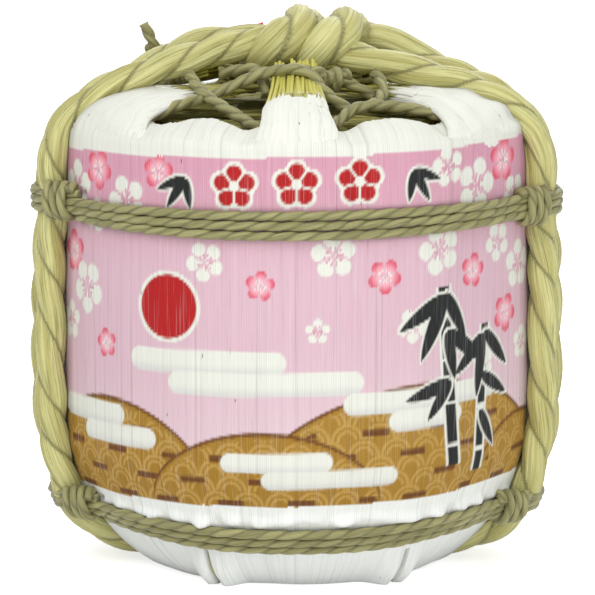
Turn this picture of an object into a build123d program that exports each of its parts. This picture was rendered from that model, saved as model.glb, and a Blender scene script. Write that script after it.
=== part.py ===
import os
from math import asin, atan2, cos, degrees, pi, radians, sin, sqrt, tan

from build123d import *

# Straw mat: a drum-shaped wrapper of straw, its wall closed below by a bowl and a thick folded base
mat_radius = 99.0
mat_thickness = 3.6
foot_radius = 64.0
bowl_height = 54.0
bowl_mid_radius = 84.5
bowl_mid_height = 19.0
base_thickness = 14.4
rim_height = 177.0
rim_radius = 93.5
rim_top_height = 185.0
lip_radius = 87.0
lip_height = 187.5
inner_foot_radius = 58.0
inner_bend_radius = 75.0
inner_bend_height = 21.6
inner_mid_radius = 88.0
inner_mid_height = 36.0

# Shoulders that the ropes press round, seen from the front: an arc each side and a low crown
shoulder_center_x = 51.0
shoulder_center_z = 150.0
shoulder_radius = 45.0
crown_slope = 12.0

# Tabs of the mat, folded in over the top
tab_count = 6
tab_thickness = 3.4
tab_root_radius = 95.0
tab_root_height = 183.5
tab_bend_radius = 87.0
tab_fold_radius = 60.0
tab_tip_radius = 35.0
upright_bend_height = 189.5
upright_fold_height = 196.0
upright_tip_height = 205.0
pressed_bend_height = 187.0
pressed_fold_height = 190.0
pressed_tip_height = 193.8
narrow_root_width = 36.0
narrow_fold_width = 23.0
narrow_tip_width = 16.0
wide_root_width = 52.0
wide_fold_width = 31.0
wide_tip_width = 20.0

# Slits between the six tabs folded under the base, and the hole that they leave in the middle
slit_width = 2.4
slit_depth = 10.0
slit_start_radius = 34.0
base_hole_radius = 17.0

# Ropes
thick_rope_diameter = 12.0
thin_rope_diameter = 3.4
thick_rope_sides = 12
thin_rope_sides = 8
rope_clearance = 0.3
turn_gap = 0.45
slope_turn_gap = 0.75
run_share = 0.45
belt_turns = 3
upper_belt_height = 144.6
lower_belt_angle = -35.5
belt_lift_azimuth = 58.0
belt_return_azimuth = 100.0
front_corner_count = 5
back_corner_count = 8
lashing_start = 3.0
lashing_quarters = 10

# Cedar cask
stave_count = 16
stave_joint = 0.12
stave_thickness = 10.0
cask_base_height = 22.0
cask_height = 150.0
cask_base_radius = 74.0
cask_top_radius = 80.0
croze_depth = 3.0
board_thickness = 8.0
board_clearance = 0.2
bottom_board_rise = 3.2
head_board_drop = 3.2
board_count = 3
stave_chamfer = 1.2

# Wooden bung in the head
bung_top_radius = 11.5
bung_foot_radius = 9.5
bung_proud = 2.4
bung_below = 4.0
bung_clearance = 0.15

# Bamboo hoops
hoop_thickness = 3.4
hoop_width = 9.0
hoop_clearance = 0.15
hoop_height_shares = [0.12, 0.3, 0.72, 0.9]

# Straw packing
packing_clearance = 0.4
packing_low_share = 0.12
packing_high_share = 0.94
top_pad_radius = 70.0
top_pad_thickness = 10.0
top_pad_fillet = 4.0

# Paper tag tucked behind the knot
tag_width = 9.0
tag_height = 6.0
tag_thickness = 0.8
tag_corner = (-27.0, 4.4, 213.2)

# Routes of the ropes: corners of their runs, chosen by hand
side_front_run = [(69.6, -31.0, 198.5), (88.5, -35.5, 187.5), (98.9, -37.4, 169.6),
                  (98.9, -35.5, 37.2), (88.6, -29.5, 19.4), (65.4, -13.2, 6.3)]
side_rear_run = [(69.6, -12.0, 198.5), (88.5, -21.5, 187.5), (102.3, -25.2, 163.7),
                 (102.3, -22.0, 42.6), (88.6, -13.9, 19.4), (65.4, 0.2, 6.3)]
knot_start = (-4.5, -14.5, 208.0)
knot_crossing = [(28.0, -19.0, 203.5), (4.0, -3.0, 206.5), (-38.0, 12.0, 207.0)]
knot_approach = [(40.0, 9.0, 207.0), (21.0, 18.5, 213.5)]
knot_wraps = [(14.0, -27.8, 221.0), (9.0, -27.8, 193.0), (6.0, 14.4, 193.0), (2.0, 14.4, 220.8),
              (-2.0, -27.8, 221.2), (-8.0, -27.8, 193.6), (-11.0, 16.3, 193.4), (-13.0, 16.3, 213.0)]
tail_run = [(-55.0, 12.0, 197.4), (-57.0, 12.6, 203.0), (-59.5, 13.0, 210.0), (-63.0, 13.2, 217.0)]
tail_knot_radius = 4.1
tail_knot_center = (-56.8, 12.6, 202.4)
tail_knot_turns = 2
lacing_over_radius = 52.0
lacing_under_radius = 79.0
lacing_cross_radius = 63.0
lacing_under_half = 13.0
lacing_over_margin = 2.0
lacing_under_height = 181.2
lacing_cross_high = 194.2
lacing_cross_low = 187.0
lacing_end_azimuth = 4.0

cut_overrun = 5.0
thick_rope_radius = thick_rope_diameter / 2
thin_rope_radius = thin_rope_diameter / 2


def on_azimuth(azimuth, radius, height):
    """Point at an azimuth in degrees from the front (-Y), turning towards +X."""
    return Vector(radius * sin(radians(azimuth)), -radius * cos(radians(azimuth)), height)


def profile_face(*lines):
    return Plane.XZ * make_face(Wire(list(lines)))


def revolved(points):
    return revolve(Plane.XZ * make_face(Polyline(*points, close=True)), Axis.Z)


def corner_radii(corners, caps):
    """Fillet radius of each corner: as large as its two runs allow, up to its cap."""
    radii = []
    for before, here, after, cap in zip(corners, corners[1:], corners[2:], caps):
        half_turn = radians((here - before).get_angle(after - here)) / 2
        shorter = min((here - before).length, (after - here).length)
        radii.append(min(cap, run_share * shorter / tan(half_turn)))
    return radii


def rope_path(corners, caps=None):
    corners = [Vector(*corner) for corner in corners]
    widest = 10 * mat_radius
    caps = caps or [widest] * (len(corners) - 2)
    radii = corner_radii(corners, caps)
    return FilletPolyline(*corners, radius=radii), radii


def rope_tube(path, diameter, sides):
    """A rope along its path, its round drawn with flat sides to keep its faces few."""
    section = Plane(origin=path @ 0, z_dir=path % 0) * RegularPolygon(diameter / 2, sides)
    return sweep(section, path=path)


def least_gap(path, diameter, samples):
    """Least distance between two stretches of one rope's surface, measured on points."""
    points = [path @ (index / samples) for index in range(samples + 1)]
    step = path.length / samples
    apart = int(pi * diameter / step) + 1
    closest = path.length
    for index, point in enumerate(points):
        for other in points[index + apart:]:
            closest = min(closest, (point - other).length)
    return closest - diameter


def wound_rope(name, corners, diameter, caps=None, samples=900):
    path, radii = rope_path(corners, caps)
    sides = thick_rope_sides if diameter == thick_rope_diameter else thin_rope_sides
    tube = rope_tube(path, diameter, sides)
    ideal = sides * diameter ** 2 / 8 * sin(2 * pi / sides) * path.length
    print(f"{name}: length {path.length:.0f} mm, radii {min(radii):.1f} to {max(radii):.1f} mm, "
          f"volume share {tube.volume / ideal:.4f}, least gap {least_gap(path, diameter, samples):.2f} mm")
    return tube


def shoulder_profile(inset):
    """Front view of the space under the ropes: shoulder arcs and a low crown, drawn in by inset."""
    radius = shoulder_radius - inset
    side = shoulder_center_x + radius
    slope = radians(crown_slope)
    tangent_x = shoulder_center_x + radius * sin(slope)
    tangent_z = shoulder_center_z + radius * cos(slope)
    crown_z = tangent_z + tangent_x * tan(slope)
    mid = radians(45)
    mid_x = shoulder_center_x + radius * cos(mid)
    mid_z = shoulder_center_z + radius * sin(mid)
    wide = mat_radius + cut_overrun
    return profile_face(
        Line((-wide, -cut_overrun), (wide, -cut_overrun)),
        Line((wide, -cut_overrun), (wide, bowl_height)),
        Line((wide, bowl_height), (side, shoulder_center_z)),
        ThreePointArc((side, shoulder_center_z), (mid_x, mid_z), (tangent_x, tangent_z)),
        Line((tangent_x, tangent_z), (0, crown_z)),
        Line((0, crown_z), (-tangent_x, tangent_z)),
        ThreePointArc((-tangent_x, tangent_z), (-mid_x, mid_z), (-side, shoulder_center_z)),
        Line((-side, shoulder_center_z), (-wide, bowl_height)),
        Line((-wide, bowl_height), (-wide, -cut_overrun)),
    )


def under_ropes(inset):
    return extrude(shoulder_profile(inset), amount=mat_radius + cut_overrun, both=True)


def mat_outer():
    return revolve(profile_face(
        Line((0, 0), (foot_radius, 0)),
        ThreePointArc((foot_radius, 0), (bowl_mid_radius, bowl_mid_height), (mat_radius, bowl_height)),
        Line((mat_radius, bowl_height), (mat_radius, rim_height)),
        ThreePointArc((mat_radius, rim_height), (mat_radius - (mat_radius - rim_radius) / 3,
                      (rim_height + rim_top_height) / 2 + mat_thickness / 4), (rim_radius, rim_top_height)),
        Line((rim_radius, rim_top_height), (lip_radius, lip_height)),
        Line((lip_radius, lip_height), (0, lip_height)),
        Line((0, lip_height), (0, 0)),
    ), Axis.Z)


def mat_cavity(gap):
    """Space inside the mat, drawn in by a gap."""
    low = base_thickness + gap
    inner = mat_radius - mat_thickness - gap
    foot = (inner_foot_radius - gap, low)
    bend = (inner_bend_radius - gap, inner_bend_height + gap)
    middle = (inner_mid_radius - gap, inner_mid_height + gap)
    rim = (rim_radius - gap, rim_top_height - mat_thickness - gap)
    lip = (lip_radius - gap, lip_height - mat_thickness - gap)
    above = lip_height + cut_overrun
    return revolve(profile_face(
        Line((0, low), foot),
        Line(foot, bend),
        ThreePointArc(bend, middle, (inner, bowl_height)),
        Line((inner, bowl_height), (inner, rim_height - mat_thickness / 2)),
        Line((inner, rim_height - mat_thickness / 2), rim),
        Line(rim, lip),
        Line(lip, (lip[0], above)),
        Line((lip[0], above), (0, above)),
        Line((0, above), (0, low)),
    ), Axis.Z)


def top_tab(azimuth, bend_height, fold_height, tip_height, root_width, fold_width, tip_width):
    """One tab: a bent strip that narrows towards its tip, which points at the middle of the top."""
    ridge = [(tab_root_radius, tab_root_height), (tab_bend_radius, bend_height),
             (tab_fold_radius, fold_height), (tab_tip_radius, tip_height)]
    under = [(radius, height - tab_thickness) for radius, height in reversed(ridge)]
    strip = extrude(Plane.XZ * make_face(Polyline(*ridge, *under, close=True)),
                    amount=root_width, both=True)
    plan = [(tab_root_radius + cut_overrun, root_width / 2), (tab_bend_radius, root_width / 2),
            (tab_fold_radius, fold_width / 2), (tab_tip_radius - cut_overrun, tip_width / 2)]
    outline = plan + [(x, -y) for x, y in reversed(plan)]
    prism = extrude(make_face(Polyline(*outline, close=True)), amount=tip_height + cut_overrun)
    return Rot(0, 0, azimuth - 90) * (strip & prism)


def top_tabs():
    upright = (upright_bend_height, upright_fold_height, upright_tip_height,
               narrow_root_width, narrow_fold_width, narrow_tip_width)
    pressed = (pressed_bend_height, pressed_fold_height, pressed_tip_height,
               wide_root_width, wide_fold_width, wide_tip_width)
    tabs = []
    for index in range(tab_count):
        sizes = upright if index % 3 == 0 else pressed
        tabs.append(top_tab(index * 360 / tab_count, *sizes))
    return tabs


def base_slits():
    length = bowl_mid_radius - slit_start_radius
    slit = Pos(slit_start_radius + length / 2, 0, 0) * Box(length, slit_width, 2 * slit_depth)
    return [Rot(0, 0, (index + 1 / 2) * 360 / tab_count - 90) * slit for index in range(tab_count)]


def rope_channels():
    """Open grooves under the base, where the two bottom runs of the thick rope lie."""
    channels = []
    for run in (side_front_run, side_rear_run):
        end_x, end_y, end_z = run[-1]
        width = thick_rope_diameter + 2 * rope_clearance
        channels.append(Pos(0, end_y, 0) * Box(2 * end_x, width, 2 * end_z))
    return channels


def mirrored(points):
    return [(-x, y, z) for x, y, z in points]


def rope_grooves():
    """Rounded grooves that each turn of the thick rope presses into the mat."""
    grooves = []
    for run in (side_front_run, side_rear_run):
        path, _ = rope_path(mirrored(run) + run[::-1])
        grooves.append(rope_tube(path, thick_rope_diameter + 2 * rope_clearance, thick_rope_sides))
    return grooves


def thick_rope_corners():
    left_front = mirrored(side_front_run)
    left_rear = mirrored(side_rear_run)
    first_turn = [knot_start] + left_front + side_front_run[::-1]
    second_turn = knot_crossing + left_rear + side_rear_run[::-1]
    return first_turn + second_turn + knot_approach + knot_wraps


def run_at_height(run, height):
    """Where a side run of the thick rope stands at a height, and how steeply it rises there."""
    for (x0, y0, z0), (x1, y1, z1) in zip(run, run[1:]):
        if z1 <= height <= z0:
            share = (height - z0) / (z1 - z0)
            steepness = (z0 - z1) / (Vector(x0, y0, z0) - Vector(x1, y1, z1)).length
            return Vector(x0 + share * (x1 - x0), y0 + share * (y1 - y0), 0), steepness
    return Vector(*run[-1]), 1


def bowl_circle():
    """Centre and radius of the mat's bowl, from the three points of its arc."""
    (ax, az), (bx, bz), (cx, cz) = [(foot_radius, 0), (bowl_mid_radius, bowl_mid_height),
                                    (mat_radius, bowl_height)]
    d = 2 * (ax * (bz - cz) + bx * (cz - az) + cx * (az - bz))
    a2, b2, c2 = ax * ax + az * az, bx * bx + bz * bz, cx * cx + cz * cz
    center_r = (a2 * (bz - cz) + b2 * (cz - az) + c2 * (az - bz)) / d
    center_z = (a2 * (cx - bx) + b2 * (ax - cx) + c2 * (bx - ax)) / d
    return center_r, center_z, sqrt((ax - center_r) ** 2 + (az - center_z) ** 2)


def upper_turn(turns):
    """Radius and height of the upper belt after a number of turns."""
    return (mat_radius + thin_rope_radius + rope_clearance,
            upper_belt_height + turns * (thin_rope_diameter + turn_gap))


def lower_turn(turns):
    """Radius and height of the lower belt, which climbs the bowl of the mat."""
    center_r, center_z, radius = bowl_circle()
    reach = radius + thin_rope_radius + rope_clearance
    angle = radians(lower_belt_angle) + turns * (thin_rope_diameter + slope_turn_gap) / reach
    return center_r + reach * cos(angle), center_z + reach * sin(angle)


def over_ropes(turn_at, turns):
    """Corners of a belt from the mat, out over the two right side runs and back to the mat."""
    radius, height = turn_at(turns)
    front, front_steepness = run_at_height(side_front_run, height)
    rear, rear_steepness = run_at_height(side_rear_run, height)
    along = (rear - front).normalized()
    outward = Vector(along.Y, -along.X, 0)
    lift_off = on_azimuth(belt_lift_azimuth, radius, 0)
    landing = on_azimuth(belt_return_azimuth, radius, 0)
    corners = [lift_off]
    for rope, start, side, steepness in ((front, lift_off, -1, front_steepness),
                                         (rear, landing, 1, rear_steepness)):
        bump = thick_rope_radius / steepness + thin_rope_radius + rope_clearance
        reach = rope - start
        swing = asin(bump / reach.length)
        heading = atan2(reach.Y, reach.X) + side * swing
        turn = atan2(-side * along.Y, -side * along.X) - heading
        corners.append(rope + outward * bump + along * side * bump * tan(abs(turn) / 2))
    corners.append(landing)
    return [Vector(corner.X, corner.Y, height) for corner in corners]


def belt_corners(turn_at):
    """Corners of a belt that winds round the mat and over the side runs of the thick rope."""
    corners = []
    caps = []
    wide = 10 * mat_radius
    lift, landing = belt_lift_azimuth, belt_return_azimuth
    bump_cap = thick_rope_radius + thin_rope_radius + rope_clearance
    lift_cap = 2 * thin_rope_diameter
    front_step = 2 * lift / front_corner_count
    back_step = (360 - 2 * landing) / back_corner_count
    for turn in range(belt_turns):
        start = on_azimuth(-lift, turn_at(turn)[0], turn_at(turn)[1])
        corners.append(start)
        caps.append(lift_cap)
        for index in range(front_corner_count):
            azimuth = -lift + (index + 1 / 2) * front_step
            radius, height = turn_at(turn + (azimuth + lift) / 360)
            corners.append(on_azimuth(azimuth, radius / cos(radians(front_step / 2)), height))
            caps.append(wide)
        corners.extend(over_ropes(turn_at, turn + 2 * lift / 360))
        caps.extend([lift_cap, bump_cap, bump_cap, wide])
        for index in range(back_corner_count):
            azimuth = landing + (index + 1 / 2) * back_step
            radius, height = turn_at(turn + (azimuth + lift) / 360)
            corners.append(on_azimuth(azimuth, radius / cos(radians(back_step / 2)), height))
            caps.append(wide)
        left_side = over_ropes(turn_at, turn + (360 - lift - (landing - lift) / 2) / 360)
        corners.extend([Vector(-corner.X, corner.Y, corner.Z) for corner in reversed(left_side)][:3])
        caps.extend([wide, bump_cap, bump_cap])
    corners.append(on_azimuth(-lift, *turn_at(belt_turns)))
    return corners, caps[1:]


def lashing_corners(turn_at, side):
    """Corners of the turns that lash a belt's three strands together beside the thick rope."""
    start_share = 2 * belt_lift_azimuth / 360 if side > 0 else 1 - (belt_return_azimuth - belt_lift_azimuth) / 1440
    middle = (belt_turns - 1) / 2 + start_share
    strand = [over_ropes(turn_at, middle + offset) for offset in (-1, 0, 1)]
    origin = strand[1][0]
    heading = (strand[1][1] - origin).normalized()
    stack = (strand[2][0] - strand[0][0]).normalized()
    normal = heading.cross(stack).normalized()
    stack = normal.cross(heading)
    pitch = thin_rope_diameter + turn_gap
    high = (strand[2][0] - strand[0][0]).length / 2 + thin_rope_diameter + rope_clearance
    deep = thin_rope_diameter + rope_clearance
    quarter_shares = [(1, 1), (1, -1), (-1, -1), (-1, 1)]
    corners = []
    for quarter in range(lashing_quarters):
        depth_share, height_share = quarter_shares[quarter % 4]
        corner = (origin + heading * (lashing_start + quarter * pitch / 4)
                  + normal * depth_share * deep + stack * height_share * high)
        corners.append(Vector(side * corner.X, corner.Y, corner.Z))
    return corners


def lashing_pocket(corners):
    """Space that a lashing takes, to be pressed into the mat."""
    first, second, third, fourth = corners[:4]
    middle = (first + second + third + fourth) / 4 + (corners[-1] - first) / 2
    across = second - first
    deep = third - second
    plane = Plane(origin=middle, x_dir=deep, z_dir=across.normalized())
    room = thin_rope_diameter + 2 * rope_clearance
    length = (lashing_quarters / 4 + 1) * (thin_rope_diameter + turn_gap)
    return plane * Box(deep.length + room, length, across.length + room)


def lacing_corners(over_even):
    """Corners of a lacing rope that goes over and under the tabs in turn."""
    step = 360 / tab_count
    first = 0 if not over_even else tab_count // 2
    corners = []
    for count in range(tab_count + 1):
        azimuth = (first + count) * step
        raised = (first + count) % (tab_count // 2) == 0
        over = (first + count) % 2 == (0 if over_even else 1)
        fold, tip = ((upright_fold_height, upright_tip_height) if raised
                     else (pressed_fold_height, pressed_tip_height))
        width = narrow_fold_width if raised else wide_fold_width
        over_half = degrees((width / 2 + lacing_over_margin) / lacing_over_radius)
        rise = (tip - fold) / (tab_fold_radius - tab_tip_radius)
        over_height = (fold + rise * (tab_fold_radius - lacing_over_radius * cos(radians(over_half)))
                       + thin_rope_radius + rope_clearance)
        if count == 0:
            corners.append(on_azimuth(azimuth + lacing_end_azimuth, lacing_under_radius,
                                      lacing_under_height))
            corners.append(on_azimuth(azimuth + lacing_under_half, lacing_under_radius,
                                      lacing_under_height))
        elif count == tab_count:
            corners.append(on_azimuth(azimuth - lacing_under_half, lacing_under_radius,
                                      lacing_under_height))
            corners.append(on_azimuth(azimuth - lacing_end_azimuth, lacing_under_radius,
                                      lacing_under_height))
        elif over:
            corners.append(on_azimuth(azimuth - over_half, lacing_over_radius, over_height))
            corners.append(on_azimuth(azimuth + over_half, lacing_over_radius, over_height))
        else:
            corners.append(on_azimuth(azimuth - lacing_under_half, lacing_under_radius,
                                      lacing_under_height))
            corners.append(on_azimuth(azimuth + lacing_under_half, lacing_under_radius,
                                      lacing_under_height))
        if count < tab_count:
            height = lacing_cross_high if over_even else lacing_cross_low
            corners.append(on_azimuth(azimuth + step / 2, lacing_cross_radius, height))
    return corners


def cask_radius(height):
    """Outer radius of the cask at a height above the floor."""
    share = (height - cask_base_height) / cask_height
    return cask_base_radius + share * (cask_top_radius - cask_base_radius)


def cask_shell():
    top = cask_base_height + cask_height
    bottom_board = cask_base_height + bottom_board_rise
    head_board = top - head_board_drop - board_thickness
    outside = [(cask_radius(cask_base_height), cask_base_height),
               (cask_radius(top) - stave_chamfer, top)]
    shell = revolved([
        outside[0], (cask_radius(top - stave_chamfer), top - stave_chamfer), outside[1],
        (cask_radius(top) - stave_thickness, top),
        (cask_radius(cask_base_height) - stave_thickness, cask_base_height),
    ])
    for low in (bottom_board, head_board):
        high = low + board_thickness
        reach = cask_radius(low) - stave_thickness + croze_depth
        groove = revolved([(0, low), (reach, low), (reach, high), (0, high)])
        shell -= groove
    return shell


def staves():
    shell = cask_shell()
    angle = 360 / stave_count
    reach = 2 * cask_top_radius
    half_gap = stave_joint / 2
    left = on_azimuth(90 - angle / 2, reach, 0)
    right = on_azimuth(90 + angle / 2, reach, 0)
    wedge = extrude(make_face(Polyline((half_gap, 0), (left.X, left.Y + half_gap),
                                       (right.X, right.Y - half_gap), close=True)),
                    amount=cask_base_height + cask_height + cut_overrun)
    stave = shell & wedge
    return [Rot(0, 0, index * angle) * stave for index in range(stave_count)]


def round_board(low):
    reach = cask_radius(low) - stave_thickness + croze_depth - board_clearance
    thickness = board_thickness - 2 * board_clearance
    return Pos(0, 0, low + board_clearance) * extrude(Circle(reach), amount=thickness), reach


def split_boards(disc, reach):
    """Saw a round board into side-by-side boards with tight joints."""
    width = 2 * reach / board_count
    boards = []
    for index in range(board_count):
        middle = -reach + (index + 1 / 2) * width
        strip = Pos(0, middle, 0) * Box(3 * reach, width - stave_joint,
                                        4 * (cask_base_height + cask_height))
        boards.append(disc & strip)
    return boards


def bottom_boards():
    return split_boards(*round_board(cask_base_height + bottom_board_rise))


def head_height():
    return cask_base_height + cask_height - head_board_drop - board_thickness


def bung_profile(gap):
    low = head_height() - bung_below
    high = head_height() + board_thickness + bung_proud
    return revolved([(0, low), (bung_foot_radius + gap, low), (bung_top_radius + gap, high), (0, high)])


def head_boards():
    disc, reach = round_board(head_height())
    return split_boards(disc - bung_profile(bung_clearance), reach)


def hoop(share):
    middle = cask_base_height + share * cask_height
    low, high = middle - hoop_width / 2, middle + hoop_width / 2
    inside_low = cask_radius(low) + hoop_clearance
    inside_high = cask_radius(high) + hoop_clearance
    section = Plane.XZ * make_face(Polyline(
        (inside_low, low), (inside_low + hoop_thickness, low),
        (inside_high + hoop_thickness, high), (inside_high, high), close=True))
    return revolve(section, Axis.Z)


def straw_packing():
    low = cask_base_height + packing_low_share * cask_height
    high = cask_base_height + packing_high_share * cask_height
    gap = hoop_thickness + 2 * packing_clearance
    sleeve = revolved([(cask_radius(low) + gap, low), (mat_radius, low),
                       (mat_radius, high), (cask_radius(high) + gap, high)])
    return sleeve & mat_cavity(packing_clearance) & under_ropes(mat_thickness + packing_clearance)


def base_pad():
    """Straw pad in the bottom of the mat, which the cask stands on."""
    high = cask_base_height - packing_clearance
    slab = revolved([(0, 0), (mat_radius, 0), (mat_radius, high), (0, high)])
    return slab & mat_cavity(packing_clearance)


def top_pad():
    low = cask_base_height + cask_height + packing_clearance
    disc = Pos(0, 0, low) * extrude(Circle(top_pad_radius), amount=top_pad_thickness)
    upper_edge = disc.edges().sort_by(Axis.Z)[-1]
    return fillet(upper_edge, radius=top_pad_fillet)


def tail_knot_corners():
    corners = []
    cx, cy, cz = tail_knot_center
    pitch = thin_rope_diameter + turn_gap
    quarters = 4 * tail_knot_turns
    reach = tail_knot_radius * sqrt(2)
    for quarter in range(quarters + 1):
        angle = radians(45 + 90 * quarter)
        corners.append((cx + reach * cos(angle), cy + reach * sin(angle),
                        cz + (quarter / 4 - tail_knot_turns / 2) * pitch))
    return corners


def paper_tag():
    x, y, z = tag_corner
    outline = Plane.XZ * make_face(Polyline((x, z), (x + tag_width, z),
                                            (x + tag_width, z + tag_height), close=True))
    return Pos(0, y, 0) * extrude(outline, amount=tag_thickness)


def build():
    pieces = {}
    thick_rope = wound_rope("thick_rope", thick_rope_corners(), thick_rope_diameter, samples=1600)
    pieces["thick_rope"] = thick_rope
    belts = {"upper": upper_turn, "lower": lower_turn}
    pockets = []
    for name, turn_at in belts.items():
        corners, caps = belt_corners(turn_at)
        pieces[f"{name}_belt_rope"] = wound_rope(f"{name}_belt_rope", corners, thin_rope_diameter, caps)
        for side_name, side in (("left", -1), ("right", 1)):
            corners = lashing_corners(turn_at, side)
            node = f"{name}_{side_name}_lashing"
            pieces[node] = wound_rope(node, corners, thin_rope_diameter, samples=200)
            pockets.append(lashing_pocket(corners))

    mat = mat_outer() & under_ropes(0)
    mat -= mat_cavity(0) & under_ropes(mat_thickness)
    hole = extrude(Circle(base_hole_radius), amount=2 * base_thickness, both=True)
    mat -= hole
    for tab in top_tabs():
        mat += tab & under_ropes(0)
    for cut in rope_grooves() + base_slits() + rope_channels() + pockets:
        mat -= cut
    pieces["straw_mat"] = mat

    for index, stave in enumerate(staves(), start=1):
        pieces[f"stave_{index:02d}"] = stave
    for index, board in enumerate(bottom_boards(), start=1):
        pieces[f"bottom_board_{index}"] = board
    for index, board in enumerate(head_boards(), start=1):
        pieces[f"head_board_{index}"] = board
    pieces["head_bung"] = bung_profile(0)
    for index, share in enumerate(hoop_height_shares, start=1):
        pieces[f"bamboo_hoop_{index}"] = hoop(share)
    pieces["straw_packing"] = straw_packing()
    pieces["straw_base_pad"] = base_pad()
    pieces["straw_top_pad"] = top_pad()

    pieces["lacing_rope_outer"] = wound_rope("lacing_rope_outer", lacing_corners(True), thin_rope_diameter)
    pieces["lacing_rope_inner"] = wound_rope("lacing_rope_inner", lacing_corners(False), thin_rope_diameter)
    pieces["tail_rope"] = wound_rope("tail_rope", tail_run, thin_rope_diameter, samples=60)
    pieces["tail_knot"] = wound_rope("tail_knot", tail_knot_corners(), thin_rope_diameter, samples=200)
    pieces["paper_tag"] = paper_tag()
    return pieces


os.makedirs("parts", exist_ok=True)
for node, piece in build().items():
    solids = piece.solids()
    print(node, len(solids), f"{sum(solid.volume for solid in solids):.0f} mm3")
    export_step(piece, f"parts/{node}.step")
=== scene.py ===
from math import asin, atan2, cos, dist, pi, radians, sin, sqrt, tan

import bpy
import numpy as np
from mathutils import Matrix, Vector
from mathutils.kdtree import KDTree


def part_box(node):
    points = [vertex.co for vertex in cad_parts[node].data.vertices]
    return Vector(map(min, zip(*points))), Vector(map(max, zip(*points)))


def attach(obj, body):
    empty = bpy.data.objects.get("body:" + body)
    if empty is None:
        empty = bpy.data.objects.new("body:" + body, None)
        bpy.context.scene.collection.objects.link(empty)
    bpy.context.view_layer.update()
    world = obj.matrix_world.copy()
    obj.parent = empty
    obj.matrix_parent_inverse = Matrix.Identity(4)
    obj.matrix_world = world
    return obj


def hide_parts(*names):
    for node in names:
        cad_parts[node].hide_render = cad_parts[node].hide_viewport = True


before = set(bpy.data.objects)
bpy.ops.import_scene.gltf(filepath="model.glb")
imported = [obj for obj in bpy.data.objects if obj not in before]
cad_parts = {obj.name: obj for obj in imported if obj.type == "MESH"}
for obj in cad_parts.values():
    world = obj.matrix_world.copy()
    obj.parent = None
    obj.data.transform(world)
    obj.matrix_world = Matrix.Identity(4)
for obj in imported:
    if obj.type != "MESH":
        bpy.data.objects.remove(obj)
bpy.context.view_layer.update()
mm = 0.001  # the sizes below are in millimetres, the scene is in metres


def srgb(*values):
    # linear colour of a picture's 0-255 values
    shares = np.array(values) / 255
    return np.where(shares <= 0.04045, shares / 12.92, ((shares + 0.055) / 1.055) ** 2.4)


def smoothStep(low, high, value):
    share = np.clip((value - low) / (high - low), 0, 1)
    return share * share * (3 - 2 * share)


def unit(vectors):
    return vectors / np.maximum(np.linalg.norm(vectors, axis=-1, keepdims=True), 1e-9)


def polar(azimuth, radius, height):
    # a place by its azimuth in degrees from the front, turning towards +X
    return (radius * sin(radians(azimuth)), -radius * cos(radians(azimuth)), height)


def wave(position, seed, parts=5):
    # smooth random wave of about -1 to 1, the same each run
    dice = np.random.default_rng(seed)
    total = np.zeros_like(position, dtype=float)
    for part in range(parts):
        pace = 0.6 + 1.9 * dice.random()
        total += np.sin(position * pace + dice.random() * 2 * pi) / parts ** 0.5
    return total


def lengthAlong(line):
    return np.concatenate([[0], np.cumsum(np.linalg.norm(np.diff(line, axis=0), axis=1))])


def grid(*parts):
    # rows and columns of vectors, each part a row, a column or a whole grid of numbers
    return np.stack(np.broadcast_arrays(*parts), axis=-1)


def fullTurn(count):
    # a row of angles all the way round
    return np.linspace(0, 2 * pi, count, endpoint=False)[None, :]


def ringed(radius, turn, height):
    # places round the upright axis, by their angle from the front
    return grid(radius * np.sin(turn), -radius * np.cos(turn), height)


def gridFaces(rows, columns, closedColumns=True, closedRows=False):
    row, column = np.meshgrid(np.arange(rows if closedRows else rows - 1),
                              np.arange(columns if closedColumns else columns - 1), indexing="ij")
    nextRow, nextColumn = (row + 1) % rows, (column + 1) % columns
    return np.stack([row * columns + column, row * columns + nextColumn,
                     nextRow * columns + nextColumn, nextRow * columns + column], axis=-1).reshape(-1, 4)


def inScene(name, data):
    made = bpy.data.objects.new(name, data)
    bpy.context.scene.collection.objects.link(made)
    return made


def addPiece(name, points, faces, material, layers=None, node=None):
    # points in millimetres; layers are named values per point, as numbers, vectors or colours
    points = points.reshape(-1, 3)
    mesh = bpy.data.meshes.new(name)
    mesh.from_pydata(points * mm, [], faces)
    for layerName, values in (layers or {}).items():
        values = np.asarray(values, dtype=np.float32).reshape(len(points), -1)
        kind, field = {1: ("FLOAT", "value"), 3: ("FLOAT_VECTOR", "vector"),
                       4: ("FLOAT_COLOR", "color")}[values.shape[1]]
        mesh.attributes.new(layerName, kind, "POINT").data.foreach_set(field, values.ravel())
    mesh.shade_smooth()
    mesh.validate()
    mesh.materials.append(material)
    piece = inScene(name, mesh)
    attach(piece, "root")
    if node:
        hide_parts(node)


def joined(parts):
    # one set of points, faces and layers from several
    points, faces, layers, start = [], [], {}, 0
    for partPoints, partFaces, partLayers in parts:
        points.append(partPoints.reshape(-1, 3))
        faces.append(np.asarray(partFaces) + start)
        for key, values in partLayers.items():
            layers.setdefault(key, []).append(values.reshape(len(points[-1]), -1))
        start += len(points[-1])
    return np.concatenate(points), np.concatenate(faces), {key: np.concatenate(rows) for key, rows in layers.items()}


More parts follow.
